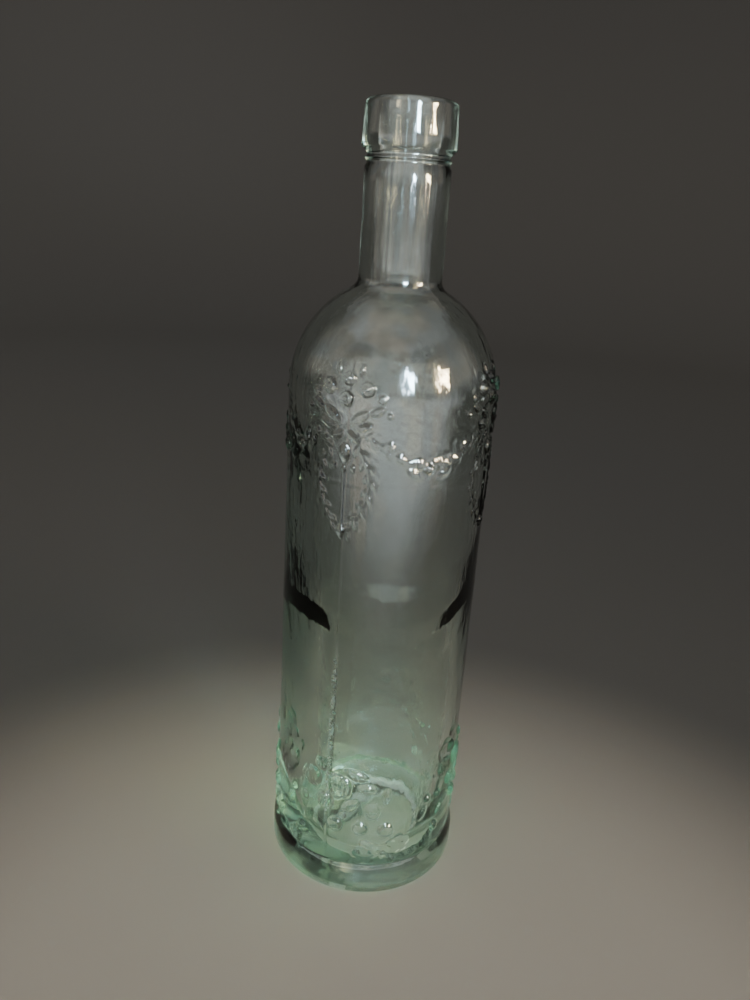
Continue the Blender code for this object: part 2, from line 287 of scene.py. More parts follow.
half_section = inside_points()
inside_count = len(half_section)
half_section += finish_points() + outside_points() + base_points()
print("half section:", len(half_section), "points,", inside_count, "of them inside")

# %% [markdown]
# The ornament is drawn on a flat sheet first, as a mould maker would: across is the way round the
# bottle and up is height. Each motif is a small raised patch, made once on rings and spokes, with
# an outline rule and a height rule. They are laid out for one quarter of the bottle, because the
# same cluster comes four times round it.

# %% Lay-out of the sheet
SECTORS = 4
SECTOR_WIDTH = tau * BODY_RADIUS / SECTORS
CLUSTER_TURN = radians(-22.5)
RELIEF_HEIGHT = 1.5 * MM
guides = bpy.data.collections.new("guides")
bpy.context.scene.collection.children.link(guides)


def guide_object(name, data):
    """An object that only Geometry Nodes read. It is removed before the end."""
    return add_object(name, data, guides)


# %% Raised patches on rings and spokes
def join_rings(mesh, middle, rings):
    """Faces from a middle point over closed rings of points, from the inner to the outer."""
    count = len(rings[0])
    for i in range(count):
        beside = (i + 1) % count
        mesh.faces.new((middle, rings[0][i], rings[0][beside]))
        for inner, outer in zip(rings, rings[1:]):
            mesh.faces.new((inner[i], outer[i], outer[beside], inner[beside]))


def raised_patch(name, outline, height, rings=12, spokes=36):
    """A patch of unit size: outline(turn) gives its edge and height(share, turn) its height."""
    mesh = bmesh.new()
    middle = mesh.verts.new((0, 0, height(0, 0)))
    rows = []
    for ring in range(1, rings + 1):
        share = sin(pi / 2 * ring / rings)
        row = []
        for spoke in range(spokes):
            turn = tau * spoke / spokes
            x, y = outline(turn)
            row.append(mesh.verts.new((x * share, y * share, height(share, turn))))
        rows.append(row)
    join_rings(mesh, middle, rows)
    data = bpy.data.meshes.new(name)
    mesh.to_mesh(data)
    mesh.free()
    return guide_object(name, data)


def dome(share, turn=0):
    """The height of half a ball at this share of its radius, the same at every turn."""
    return sqrt(max(0, 1 - share * share))


# %% Rose, berry and leaves
PETALS = 5
SCALLOP_DEPTH = 0.1
ROSE_WINDINGS = 1.9
FULL_ROSE_WINDINGS = 3.1
ROSE_GROOVE = 0.72
ROSE_GROOVE_WIDTH = 0.2
ROSE_BUD = 0.2
ROSE_FALL = 0.3
ROSE_EDGE = 0.12
LEAF_WIDTH = 0.42
LEAF_HEIGHT = 0.86
MIDRIB_DEPTH = 0.45
MIDRIB_WIDTH = 0.16
VEIN_DEPTH = 0.14
VEIN_COUNT = 11
VEIN_SLANT = 0.7
LOBES = 5
LOBE_ROOT = 0.66
LOBE_LENGTH = 0.34
LOBE_HEIGHT = 0.9
LOBE_GROOVE = 0.4
LOBE_GROOVE_WIDTH = 0.14
TIP_SHARPNESS = 0.8


def rose_outline(turn):
    """A round edge with five shallow scallops."""
    reach = 1 - SCALLOP_DEPTH * (1 - abs(cos(PETALS / 2 * turn)))
    return reach * cos(turn), reach * sin(turn)


def rose_height(share, turn, windings=ROSE_WINDINGS):
    """Petals wound in a spiral round a bud, with a narrow groove between the windings."""
    winding = (share * windings - turn / tau) % 1
    groove = exp(-(min(winding, 1 - winding) / ROSE_GROOVE_WIDTH) ** 2)
    edge = min(1, (1 - share) / ROSE_EDGE)
    wound = 1 - ROSE_GROOVE * groove * min(1, share / ROSE_BUD)
    return (1 - ROSE_FALL * share ** 2) * wound * edge


def round_outline(turn):
    """A plain circle."""
    return cos(turn), sin(turn)


def leaf_outline(turn):
    """A pointed oval that runs along the sheet's width."""
    return cos(turn), LEAF_WIDTH * sin(turn) * abs(sin(turn)) ** TIP_SHARPNESS


def leaf_height(share, turn):
    """A low dome with a groove along the midrib and slanted veins."""
    x = share * cos(turn)
    y = share * sin(turn)
    groove = MIDRIB_DEPTH * exp(-(y / MIDRIB_WIDTH) ** 2)
    vein = VEIN_DEPTH * cos(VEIN_COUNT * (x - VEIN_SLANT * abs(y)))
    return dome(share) * (LEAF_HEIGHT - groove + vein)


def vine_leaf_outline(turn):
    """Five blunt lobes."""
    reach = LOBE_ROOT + LOBE_LENGTH * abs(cos(LOBES / 2 * turn)) ** TIP_SHARPNESS
    return reach * cos(turn), reach * sin(turn)


def vine_leaf_height(share, turn):
    """A low dome with a groove to the tip of each lobe."""
    from_groove = sin(LOBES / 2 * turn) * share / LOBE_GROOVE_WIDTH
    return dome(share) * (LOBE_HEIGHT - LOBE_GROOVE * exp(-from_groove ** 2))


rose = raised_patch("rose", rose_outline, rose_height, rings=18, spokes=48)
wide_rose_height = partial(rose_height, windings=FULL_ROSE_WINDINGS)
full_rose = raised_patch("full_rose", rose_outline, wide_rose_height, rings=26, spokes=60)
berry = raised_patch("berry", round_outline, dome, rings=8, spokes=24)
leaf = raised_patch("leaf", leaf_outline, leaf_height, rings=10, spokes=40)
vine_leaf = raised_patch("vine_leaf", vine_leaf_outline, vine_leaf_height, rings=12, spokes=50)

# %% [markdown]
# Geometry Nodes copy the motifs. One tree scatters a motif over places, which are loose points
# that carry a turn and a size, and repeats them round the bottle. It suits this job better than
# copying in code, because the number of repeats and the relief height stay inputs that a learner
# can change. The helpers below build all trees, those of the materials and lights too. A socket
# knows the tree that it belongs to, so only nodes without a linked input are told theirs.


# %% Helpers for all node trees
def feed(node, values):
    """Link or set a node's inputs by name or number."""
    for key, value in values.items():
        if isinstance(value, bpy.types.NodeSocket):
            node.id_data.links.new(value, node.inputs[key])
        else:
            node.inputs[key].default_value = value
    return node


def place(tree, kind, values=None, **settings):
    """Add a node, set its properties, link or set its inputs, and give its outputs."""
    return feed(set_all(tree.nodes.new(kind), settings), values or {}).outputs


def place_beside(values, kind, **settings):
    """Add a node with these values as its inputs, in the tree of the first socket among them."""
    tree = next(v.id_data for v in values if isinstance(v, bpy.types.NodeSocket))
    return place(tree, kind, dict(enumerate(values)), **settings)


def math_of(operation, *values):
    """The output of a Math node."""
    return place_beside(values, "ShaderNodeMath", operation=operation)[0]


plus, minus, times, divided, times_plus = (
    partial(math_of, name) for name in ("ADD", "SUBTRACT", "MULTIPLY", "DIVIDE", "MULTIPLY_ADD")
)


def vector_math(operation, *values):
    """The output of a Vector Math node: a number for lengths and distances, else a vector."""
    outputs = place_beside(values, "ShaderNodeVectorMath", operation=operation)
    return outputs["Value" if operation in ("LENGTH", "DISTANCE") else "Vector"]


def vector_of(*parts):
    """The output of a Combine XYZ node."""
    return place_beside(parts, "ShaderNodeCombineXYZ")[0]


def split(vector):
    """The X, Y and Z outputs of a Separate XYZ node."""
    return place_beside([vector], "ShaderNodeSeparateXYZ")


def smooth_range(value, start, end, low=0.0, high=1.0):
    """Low before the start and high after the end, smooth between; start may be above end."""
    return place(value.id_data, "ShaderNodeMapRange", {
        "Value": value, "From Min": start, "From Max": end, "To Min": low, "To Max": high,
    }, interpolation_type="SMOOTHSTEP")[0]


def noise_of(vector, scale, detail, roughness=0.5, distortion=0.0):
    """The grey output of a Noise Texture node."""
    return place(vector.id_data, "ShaderNodeTexNoise", {
        "Vector": vector, "Scale": scale, "Detail": detail,
        "Roughness": roughness, "Distortion": distortion,
    })[0]


def new_group(tree_kind, name, inputs, outputs):
    """A node group with inputs (name, socket type, default) and outputs (name, socket type)."""
    tree = bpy.data.node_groups.new(name, tree_kind)
    sockets = tree.interface
    for label, kind, default in inputs:
        socket = sockets.new_socket(label, in_out="INPUT", socket_type="NodeSocket" + kind)
        if default is not None:
            socket.default_value = default
    for label, kind in outputs:
        sockets.new_socket(label, in_out="OUTPUT", socket_type="NodeSocket" + kind)
    return tree, tree.nodes.new("NodeGroupInput").outputs


# %% Helpers for Geometry Nodes
def new_tree(name, *inputs):
    """A geometry tree with named inputs, given as (name, socket type, default)."""
    geometry = ("Geometry", "Geometry")
    return new_group("GeometryNodeTree", name, [(*geometry, None), *inputs], [geometry])


def geometry_of(target):
    """The geometry of the object that comes in by this socket."""
    return place(target.id_data, "GeometryNodeObjectInfo", {"Object": target})["Geometry"]


def named(tree, label, kind="FLOAT"):
    """A named attribute."""
    return place(tree, "GeometryNodeInputNamedAttribute", {"Name": label}, data_type=kind)[0]


def repeat_round(instance, sectors, width):
    """Copies side by side along the sheet, the first of them one sector to the left."""
    tree = instance.id_data
    row = place(tree, "GeometryNodeMeshLine", {
        "Count": sectors,
        "Start Location": vector_of(times(width, -1.0), 0.0, 0.0),
        "Offset": vector_of(width, 0.0, 0.0),
    })
    return place(tree, "GeometryNodeInstanceOnPoints", {"Points": row[0], "Instance": instance})[0]


def finish_tree(geometry, material=None):
    """Realize Instances, Set Material, and the group's output."""
    tree = geometry.id_data
    values = {"Geometry": place(tree, "GeometryNodeRealizeInstances", {"Geometry": geometry})[0]}
    if material is not None:
        values["Material"] = material
    place(tree, "NodeGroupOutput", {0: place(tree, "GeometryNodeSetMaterial", values)[0]})


def run_tree(target, tree, values):
    """Put the tree on an object with these input values and return the mesh that it makes."""
    modifier = target.modifiers.new(tree.name, "NODES")
    modifier.node_group = tree
    sockets = {s.name: s.identifier for s in tree.interface.items_tree if s.in_out == "INPUT"}
    for label, value in values.items():
        modifier[sockets[label]] = value
    depsgraph = bpy.context.evaluated_depsgraph_get()
    mesh = bpy.data.meshes.new_from_object(target.evaluated_get(depsgraph))
    target.modifiers.remove(modifier)
    return mesh


# %% The tree that scatters a motif
SECTOR_INPUTS = (
    ("Sectors", "Int", SECTORS + 2),
    ("Sector width", "Float", SECTOR_WIDTH),
)
scatter, entry = new_tree("scatter_motif", ("Motif", "Object", None), *SECTOR_INPUTS)
spread = place(scatter, "GeometryNodeInstanceOnPoints", {
    "Points": entry["Geometry"],
    "Instance": geometry_of(entry["Motif"]),
    "Rotation": vector_of(0.0, 0.0, named(scatter, "turn")),
    "Scale": named(scatter, "size", "FLOAT_VECTOR"),
})
finish_tree(repeat_round(spread[0], entry["Sectors"], entry["Sector width"]))
print("scatter tree:", len(scatter.nodes), "nodes")


# %% Places of the motifs
def add_numbers(mesh, label, values):
    """Give each point of the mesh its number, under this label."""
    mesh.attributes.new(label, "FLOAT", "POINT").data.foreach_set("value", values)


def add_vectors(mesh, label, values):
    """Give each point of the mesh its vector, under this label."""
    flat = [part for vector in values for part in vector]
    mesh.attributes.new(label, "FLOAT_VECTOR", "POINT").data.foreach_set("vector", flat)


def scatter_on_sheet(name, motif, places):
    """Places are (across mm, up mm, half length mm, half width mm, height share, turn degrees)."""
    data = bpy.data.meshes.new(name)
    data.from_pydata([(x * MM, y * MM, 0) for x, y, *_ in places], [], [])
    add_numbers(data, "turn", [radians(turn) for *_, turn in places])
    sizes = [(length * MM, width * MM, h * RELIEF_HEIGHT) for _, _, length, width, h, _ in places]
    add_vectors(data, "size", sizes)
    spots = guide_object(name, data)
    spots.data = run_tree(spots, scatter, {"Motif": motif})
    return spots


def both_sides(places, middle=0):
    """The places and their mirror images about a middle line."""
    mirrored = [(2 * middle - x, y, l, w, h, 180 - t) for x, y, l, w, h, t in places]
    return list(places) + mirrored


HALF = SECTOR_WIDTH / MM / 2
upper_roses = [
    (0.2, 218.4, 2.5, 2.5, 0.9, 20), (0.0, 211.6, 2.9, 2.9, 1.0, 90),
] + both_sides([(7.2, 215.4, 2.8, 2.8, 1.0, 40), (12.6, 212.6, 1.6, 1.6, 0.7, 0)])
full_roses = [(5.0, 52.6, 6.0, 6.0, 1.05, 30), (-7.4, 53.8, 4.4, 4.8, 1.0, 120)]
lower_roses = [
    (-0.6, 44.6, 4.0, 4.0, 1.0, 200), (-2.8, 61.2, 2.8, 2.8, 0.85, 60),
    (19.6, 42.0, 3.1, 3.8, 0.9, 10),
]
berries = both_sides([
    (15.6, 207.2, 1.1, 1.1, 0.6, 0), (3.6, 187.4, 0.8, 0.8, 0.6, 0),
    (24.5, 190.6, 1.0, 1.0, 0.6, 0), (27.3, 189.6, 1.0, 1.0, 0.6, 0),
]) + [
    (HALF, 188.6, 1.8, 1.8, 1.0, 0), (0.2, 192.6, 2.1, 2.9, 1.0, 0), (0.2, 187.0, 1.0, 1.0, 0.7, 0),
    (0.2, 163.6, 1.7, 1.7, 1.0, 0), (0.2, 161.3, 0.8, 0.8, 0.6, 0), (4.2, 34.0, 3.1, 3.1, 1.1, 0),
    (14.9, 33.6, 3.2, 3.2, 1.1, 0), (25.6, 32.6, 3.4, 3.4, 1.1, 0), (-17.4, 42.5, 1.8, 1.8, 0.9, 0),
    (-10.8, 42.0, 1.9, 1.9, 0.8, 0), (50.5, 25.4, 2.6, 2.6, 1.0, 0), (7.6, 38.8, 1.3, 1.3, 0.8, 0),
    (29.4, 17.0, 1.5, 1.5, 0.9, 0), (25.2, 20.6, 1.2, 1.2, 0.8, 0),
]
upper_leaves = both_sides([
    (4.6, 221.6, 2.4, 2.2, 0.7, 80), (5.2, 205.6, 4.4, 4.2, 0.9, 38),
    (6.6, 202.4, 4.0, 3.6, 0.9, 12), (11.4, 208.4, 3.2, 3.2, 0.8, 30),
    (3.2, 198.6, 3.0, 3.0, 0.8, -35), (20.5, 192.0, 2.6, 2.8, 0.7, -20),
    (25.2, 187.2, 3.6, 3.2, 0.8, -38), (34.6, 191.0, 2.4, 2.6, 0.7, 30),
    (17.0, 196.4, 2.2, 2.4, 0.7, -55),
])
lower_leaves = [
    (10.4, 44.4, 4.6, 4.8, 0.95, 35), (12.0, 59.4, 5.6, 4.6, 0.95, -18),
    (17.0, 53.2, 4.2, 5.0, 0.9, -4), (25.2, 49.4, 3.6, 3.0, 0.8, 84),
    (-8.4, 33.2, 4.0, 4.0, 0.85, 55), (18.0, 25.2, 3.0, 3.2, 0.8, -34),
    (36.5, 17.4, 3.0, 3.0, 0.8, -20), (42.5, 36.0, 3.6, 3.8, 0.8, 60),
]
vine_leaves = [
    (17.2, 19.6, 5.2, 5.6, 0.95, 90), (32.0, 24.2, 5.2, 4.8, 0.8, 20),
    (46.5, 18.6, 4.2, 4.0, 0.8, 100),
]
motif_sheets = [
    scatter_on_sheet("roses", rose, upper_roses + lower_roses),
    scatter_on_sheet("full_roses", full_rose, full_roses),
    scatter_on_sheet("berries", berry, berries),
    scatter_on_sheet("leaves", leaf, upper_leaves + lower_leaves),
    scatter_on_sheet("vine_leaves", vine_leaf, vine_leaves),
]
print("motifs laid:", {s.name: len(s.data.vertices) for s in motif_sheets})

# %% [markdown]
# Strings, vines and swags follow a path, so a second tree sweeps a half round along each curve and
# sets small leaves beside it, turned to left and right in turn. The curves have few points and
# bend smoothly through them. The string of the pendant has no leaves, so the number of leaves per
# length is one of the tree's inputs.

# %% The tree that makes a leafy strand
STRAND_STEP = 0.5 * MM
STRAND_SIDES = 12
LEAF_SPLAY = radians(42)
LEAF_RISE = 0.9
LEAF_REACH = 0.9
strand, entry = new_tree(
    "leafy_strand",
    ("Leaf", "Object", None),
    *SECTOR_INPUTS,
    ("Half width", "Float", 0.45 * MM),
    ("Height", "Float", 0.6 * RELIEF_HEIGHT),
    ("Leaf spacing", "Float", 2.6 * MM),
    ("Leaf length", "Float", 1.5 * MM),
)
step = place(strand, "GeometryNodeResampleCurve", {
    "Curve": entry["Geometry"], "Length": STRAND_STEP,
}, mode="LENGTH")
round_section = place(strand, "GeometryNodeCurvePrimitiveCircle", {
    "Resolution": STRAND_SIDES, "Radius": entry["Half width"],
})
swept = place(strand, "GeometryNodeCurveToMesh", {
    "Curve": step[0], "Profile Curve": round_section[0], "Fill Caps": True,
})
stretched = place(strand, "GeometryNodeTransform", {
    "Geometry": swept[0],
    "Scale": vector_of(1.0, 1.0, divided(entry["Height"], entry["Half width"])),
})
tangent = split(place(strand, "GeometryNodeInputTangent")[0])
headed = place(strand, "GeometryNodeStoreNamedAttribute", {
    "Geometry": entry["Geometry"], "Name": "heading",
    "Value": math_of("ARCTAN2", tangent["Y"], tangent["X"]),
}, data_type="FLOAT", domain="POINT")
leaf_spots = place(strand, "GeometryNodeCurveToPoints", {
    "Curve": headed[0], "Length": entry["Leaf spacing"],
}, mode="LENGTH")
number = place(strand, "GeometryNodeInputIndex")[0]
side = times_plus(math_of("MODULO", number, 2.0), 2.0, -1.0)
lean = times_plus(side, LEAF_SPLAY, named(strand, "heading"))
size = entry["Leaf length"]
reach = times(size, LEAF_REACH)
moved = place(strand, "GeometryNodeSetPosition", {
    "Geometry": leaf_spots["Points"],
    "Offset": vector_of(
        times(math_of("COSINE", lean), reach), times(math_of("SINE", lean), reach), 0.0
    ),
})
leaves = place(strand, "GeometryNodeInstanceOnPoints", {
    "Points": moved[0],
    "Instance": geometry_of(entry["Leaf"]),
    "Rotation": vector_of(0.0, 0.0, lean),
    "Scale": vector_of(size, size, times(entry["Height"], LEAF_RISE)),
})
both = strand.nodes.new("GeometryNodeJoinGeometry")
for part in (stretched, leaves):
    feed(both, {0: part[0]})
finish_tree(repeat_round(both.outputs[0], entry["Sectors"], entry["Sector width"]))
print("strand tree:", len(strand.nodes), "nodes")


# %% Strings, vines and swags
def strands_on_sheet(name, paths, half_width, height_share, leaf_spacing=None, leaf_length=0):
    """Paths are lists of (across mm, up mm); each bends smoothly through its points."""
    data = bpy.data.curves.new(name, "CURVE")
    data.dimensions = "3D"
    data.resolution_u = 6
    for path in paths:
        spline = data.splines.new("BEZIER")
        spline.bezier_points.add(len(path) - 1)
        for point, (x, y) in zip(spline.bezier_points, path):
            point.co = (x * MM, y * MM, 0)
            point.handle_left_type = point.handle_right_type = "AUTO"
    line = guide_object(name + "_line", data)
    mesh = run_tree(line, strand, {
        "Leaf": leaf,
        "Half width": half_width * MM,
        "Height": height_share * RELIEF_HEIGHT,
        "Leaf spacing": (leaf_spacing or 10 * SECTOR_WIDTH / MM) * MM,
        "Leaf length": leaf_length * MM,
    })
    return guide_object(name, mesh)


def mirrored(path, middle=0):
    """The path's mirror image about a middle line."""
    return [(2 * middle - x, y) for x, y in path]


drop_vine = [
    (4.6, 195.6), (7.6, 190.6), (9.6, 185.2), (9.6, 179.6), (7.8, 173.4), (4.8, 167.6),
    (2.6, 163.4),
]
swag = [(4.0, 200.6), (9.0, 198.8), (14.0, 195.6), (19.0, 192.6), (25.0, 190.6), (HALF, 190.0)]
low_vine = [
    (15.5, 26.6), (20.5, 23.2), (25.0, 20.4), (30.0, 17.6), (38.0, 17.0), (46.0, 20.0),
    (50.5, 25.0),
]
strand_sheets = [
    strands_on_sheet("pendant_string", [[(0.2, 186.4), (0.2, 163.6)]], 0.42, 0.6),
    strands_on_sheet("drop_vines", [drop_vine, mirrored(drop_vine)], 0.32, 0.5, 2.5, 2.0),
    strands_on_sheet("swags", [swag, mirrored(swag, HALF)], 0.32, 0.5, 3.2, 1.9),
    strands_on_sheet("low_vine", [low_vine], 0.5, 0.6, 5.0, 1.9),
]
print("strands laid:", {s.name: len(s.data.vertices) for s in strand_sheets})

# %% [markdown]
# Now the skin. A third tree takes a flat grid, one row for each point of the half section and one
# column for each step round the bottle, and bends it into the closed glass surface. Rows in the
# ornament zones look up how high the sheet's motifs stand there, with a few rays each, and move
# out by that much. Being one skin, the ornament melts into the glass like pressed glass does, and
# no two glass surfaces overlap.

# %% Carry the ornament and the waviness on the half section
COLUMNS = 444
PLAIN_COLUMNS = 111
CROWDING = 0.25
FRONT_CROWDING = 0.25
SEAM_TURN = radians(-21.5)
WAVE_INSIDE = 0.2 * MM
WAVE_INSIDE_LOW = 0.3 * MM
WAVE_OUTSIDE = 0.05 * MM
CHAMBER_SHIFT = 3.2 * MM
FLOOR_HEAP = 20.0 * MM
HEAP_TURN = radians(-100)
HEAP_TOP = 55.0 * MM
HEAP_RADIUS = BODY_RADIUS - 2.6 * BODY_WALL
WAVE_SINK = 10.5 * MM
WAVE_FRONT = 8.0 * MM
WAVE_SIDES = 9.7 * MM
WAVE_RIGHT = 12.5 * MM
WAVE_REACH = 60.0 * MM
WAVE_HOLD = 1.1
GENTLE_BOTTOM = 92.0 * MM
GENTLE_TOP = 158.0 * MM
GENTLE_MIDDLE = radians(-2)
GENTLE_SHARE = 0.88
GENTLE_SHARE_BEHIND = 0.68
GENTLE_INNER = radians(12)
GENTLE_OUTER = radians(66)
NECK_END_HEIGHT = TOTAL_HEIGHT - COLLAR_HEIGHT - COLLAR_CHAMFER_HEIGHT


def outside_share(index, z, top):
    """1 on the outside between the heel band and this height, else 0."""
    return 1.0 if index >= inside_count and LOWER_BOTTOM < z < top else 0.0


def ease(share):
    """A smooth step from 0 to 1."""
    share = min(1, max(0, share))
    return share * share * (3 - 2 * share)


def wave_reach(index, r, z):
    """How far the blown surface may wander at this point."""
    calm = min(1, r / NECK_RADIUS)
    if index < inside_count:
        below_step = ease((WAVE_TOP - z) / BODY_RADIUS)
        low = below_step * ease((z - FLOOR_HEIGHT) / FLOOR_FLAT_RADIUS)
        return (WAVE_INSIDE + (WAVE_INSIDE_LOW - WAVE_INSIDE) * low) * calm
    return WAVE_OUTSIDE * calm if z > LOWER_BOTTOM else 0.0


def skew_parts(index, r, z):
    """How much of the floor's heap, the step's sway and the hollow's shift this point takes."""
    if index >= inside_count:
        return (0, 0, 0)
    heaped = r / HEAP_RADIUS * ease((HEAP_TOP - z) / (HEAP_TOP - FLOOR_HEIGHT))
    middle = (WAVE_TOP + WAVE_BOTTOM) / 2
    swayed = ease(WAVE_HOLD - abs(z - middle) / WAVE_REACH)
    moved = ease((z - FLOOR_HEIGHT) / BODY_RADIUS) * ease((BODY_TOP - z) / BODY_RADIUS)
    return (heaped, swayed, moved * CHAMBER_SHIFT)


def gentle_reach(index, z):
    """How far a long gentle slope stands out from the step, for where the step melts away."""
    if index >= inside_count:
        return 0.0
    risen = (z - WAVE_BOTTOM) / (WAVE_TOP - WAVE_BOTTOM)
    step = ramp(min(1, max(0, risen)))
    slope = ease((z - GENTLE_BOTTOM) / (GENTLE_TOP - GENTLE_BOTTOM))
    return WAVE_DEPTH * (slope - step)


def outward_way(index):
    """The direction square to the half section at this point, away from the glass."""
    before = Vector(half_section[max(0, index - 1)])
    after = Vector(half_section[min(len(half_section) - 1, index + 1)])
    way = (after - before).normalized()
    return (-way.y, 0, way.x)


def section_object():
    """The half section as loose points that carry all that the skin looks up."""
    data = bpy.data.meshes.new("half_section")
    data.from_pydata([(r, 0, z) for r, z in half_section], [], [])
    spots = [(i, r, z) for i, (r, z) in enumerate(half_section)]
    add_vectors(data, "out", [outward_way(i) for i, r, z in spots])
    add_vectors(data, "skew", [skew_parts(i, r, z) for i, r, z in spots])
    add_numbers(data, "relief", [outside_share(i, z, UPPER_TOP) for i, r, z in spots])
    add_numbers(data, "seam", [outside_share(i, z, NECK_END_HEIGHT) for i, r, z in spots])
    add_numbers(data, "wave", [wave_reach(i, r, z) for i, r, z in spots])
    add_numbers(data, "gentle", [gentle_reach(i, z) for i, r, z in spots])
    return guide_object("half_section", data)


def joined_sheet(sheets):
    """All raised motifs as one object for the rays to meet."""
    mesh = bmesh.new()
    for sheet in sheets:
        mesh.from_mesh(sheet.data)
    data = bpy.data.meshes.new("ornament_sheet")
    mesh.to_mesh(data)
    mesh.free()
    return guide_object("ornament_sheet", data)


section = section_object()
ornament = joined_sheet(motif_sheets + strand_sheets)
print("ornament sheet:", len(ornament.data.polygons), "faces")

# %% The tree that bends the grid into glass
skin, entry = new_tree(
    "glass_skin",
    ("Half section", "Object", None),
    ("Ornament", "Object", None),
    ("Columns", "Int", COLUMNS),
    ("Plain columns", "Int", PLAIN_COLUMNS),
    ("Body radius", "Float", BODY_RADIUS),
    ("Cluster turn", "Float", CLUSTER_TURN),
    ("Seam turn", "Float", SEAM_TURN),
    ("Ray height", "Float", 4 * RELIEF_HEIGHT),
    ("Glass", "Material", None),
)
columns = entry["Columns"]
section_line = geometry_of(entry["Half section"])
rows = place(
    skin, "GeometryNodeAttributeDomainSize", {"Geometry": section_line}
)["Point Count"]
row_gaps = minus(rows, 1.0)
grid = place(skin, "GeometryNodeMeshGrid", {
    "Size X": row_gaps, "Size Y": columns, "Vertices X": rows, "Vertices Y": plus(columns, 1.0),
})
position = place(skin, "GeometryNodeInputPosition")[0]
spot = split(position)
row_number = math_of("ROUND", times_plus(row_gaps, 0.5, spot["X"]))
column = math_of("ROUND", times_plus(columns, 0.5, spot["Y"]))
print("grid of", len(half_section), "rows and", COLUMNS, "columns")


# %% Look up the half section by row
def from_section(value, kind="FLOAT"):
    """A value of the half section's point that has this row's number."""
    return place(skin, "GeometryNodeSampleIndex", {
        "Geometry": section_line, "Value": value, "Index": row_number,
    }, data_type=kind, domain="POINT")[0]


profile = split(from_section(position, "FLOAT_VECTOR"))
outward, skew_here = (
    split(from_section(named(skin, label, "FLOAT_VECTOR"), "FLOAT_VECTOR"))
    for label in ("out", "skew")
)
relief_here, wave_here, seam_here, gentle_here = (
    from_section(named(skin, label)) for label in ("relief", "wave", "seam", "gentle")
)
print("skin tree so far:", len(skin.nodes), "nodes")

# %% [markdown]
# Only the ornament needs many columns. In the plain rows each column snaps to the nearest of the
# few plain columns, so their corners fall together and the last merge makes them one. The surface
# stays closed, with small triangles where fine rows meet plain ones. The columns also crowd
# together a little at the middle of each cluster, where the small roses are, and at the front.

# %% Snap the columns of plain rows
gather = divided(columns, entry["Plain columns"])
snapped = times(math_of("ROUND", divided(column, gather)), gather)
detour = times(minus(column, snapped), relief_here)
column = math_of("MODULO", plus(snapped, detour), columns)
even_angle = times(divided(column, columns), tau)
pull = math_of("SINE", times(minus(even_angle, entry["Cluster turn"]), SECTORS))
crowded = times_plus(pull, -CROWDING / SECTORS, even_angle)
angle = times_plus(math_of("SINE", even_angle), -FRONT_CROWDING, crowded)
print("skin tree so far:", len(skin.nodes), "nodes")

# %% Look up the ornament with rays
RAY_SPREAD = 0.1 * MM
SOFTER_FROM = radians(95)
SOFTER_TO = radians(145)
BACK_SHARE = 0.4
ornament_sheet = geometry_of(entry["Ornament"])
cluster_angle = math_of("WRAP", minus(angle, entry["Cluster turn"]), tau, 0.0)
across = times(cluster_angle, entry["Body radius"])
heights = []
for shift_x, shift_y in ((-1, -1), (1, -1), (1, 1), (-1, 1)):
    start = vector_of(
        plus(across, shift_x * RAY_SPREAD),
        plus(profile["Z"], shift_y * RAY_SPREAD),
        entry["Ray height"],
    )
    ray = place(skin, "GeometryNodeRaycast", {
        "Target Geometry": ornament_sheet, "Source Position": start,
        "Ray Direction": (0, 0, -1), "Ray Length": entry["Ray height"],
    })
    heights.append(times(split(ray["Hit Position"])["Z"], ray["Is Hit"]))
total = plus(plus(heights[0], heights[1]), plus(heights[2], heights[3]))
behind = math_of("ABSOLUTE", math_of("WRAP", angle, pi, -pi))
strength = smooth_range(behind, SOFTER_FROM, SOFTER_TO, 1 / len(heights), BACK_SHARE / len(heights))
raised = times(times(total, strength), relief_here)
print("rays for each corner of the skin:", len(heights))

# %% Seams of the mould and waves of the blown glass
SEAM_HEIGHT = 0.16 * MM
SEAM_HALF_WIDTH = 0.4 * MM
WANDER_SCALE = 2.6
seam_angle = math_of("WRAP", minus(angle, entry["Seam turn"]), pi / 2, -pi / 2)
seam_reach = divided(times(seam_angle, profile["X"]), SEAM_HALF_WIDTH)
seam = math_of("EXPONENT", times(times(seam_reach, seam_reach), -1.0))
seam_rise = times(times(seam, SEAM_HEIGHT), seam_here)
sine = math_of("SINE", angle)
cosine = math_of("COSINE", angle)
turned_spot = vector_of(sine, cosine, divided(profile["Z"], entry["Body radius"]))
wander = noise_of(turned_spot, WANDER_SCALE, detail=1.0, roughness=0.4)
wave = times(times_plus(wander, 2.0, -1.0), wave_here)
lift = plus(plus(raised, wave), seam_rise)
print("skin tree so far:", len(skin.nodes), "nodes")

# %% Bend the grid round the axis and close it
HEAP_SHARPNESS = 5.0
RIGHT_SHARPNESS = 4.0
MERGE_DISTANCE = 0.002 * MM
from_front = math_of("ABSOLUTE", math_of("WRAP", minus(angle, GENTLE_MIDDLE), pi, -pi))
melted = smooth_range(from_front, GENTLE_INNER, GENTLE_OUTER, GENTLE_SHARE, GENTLE_SHARE_BEHIND)
reach = times_plus(gentle_here, melted, times_plus(outward["X"], lift, profile["X"]))
toward_heap = math_of("COSINE", minus(angle, HEAP_TURN))
heap = math_of("POWER", times_plus(toward_heap, 0.5, 0.5), HEAP_SHARPNESS)
right_side = math_of("POWER", math_of("MAXIMUM", sine, 0.0), RIGHT_SHARPNESS)
sway = times_plus(cosine, WAVE_FRONT, -WAVE_SINK)
sway = times_plus(times(sine, sine), WAVE_SIDES, sway)
sway = times_plus(right_side, WAVE_RIGHT, sway)
skewed = times_plus(skew_here["X"], times(heap, FLOOR_HEAP), times(skew_here["Y"], sway))
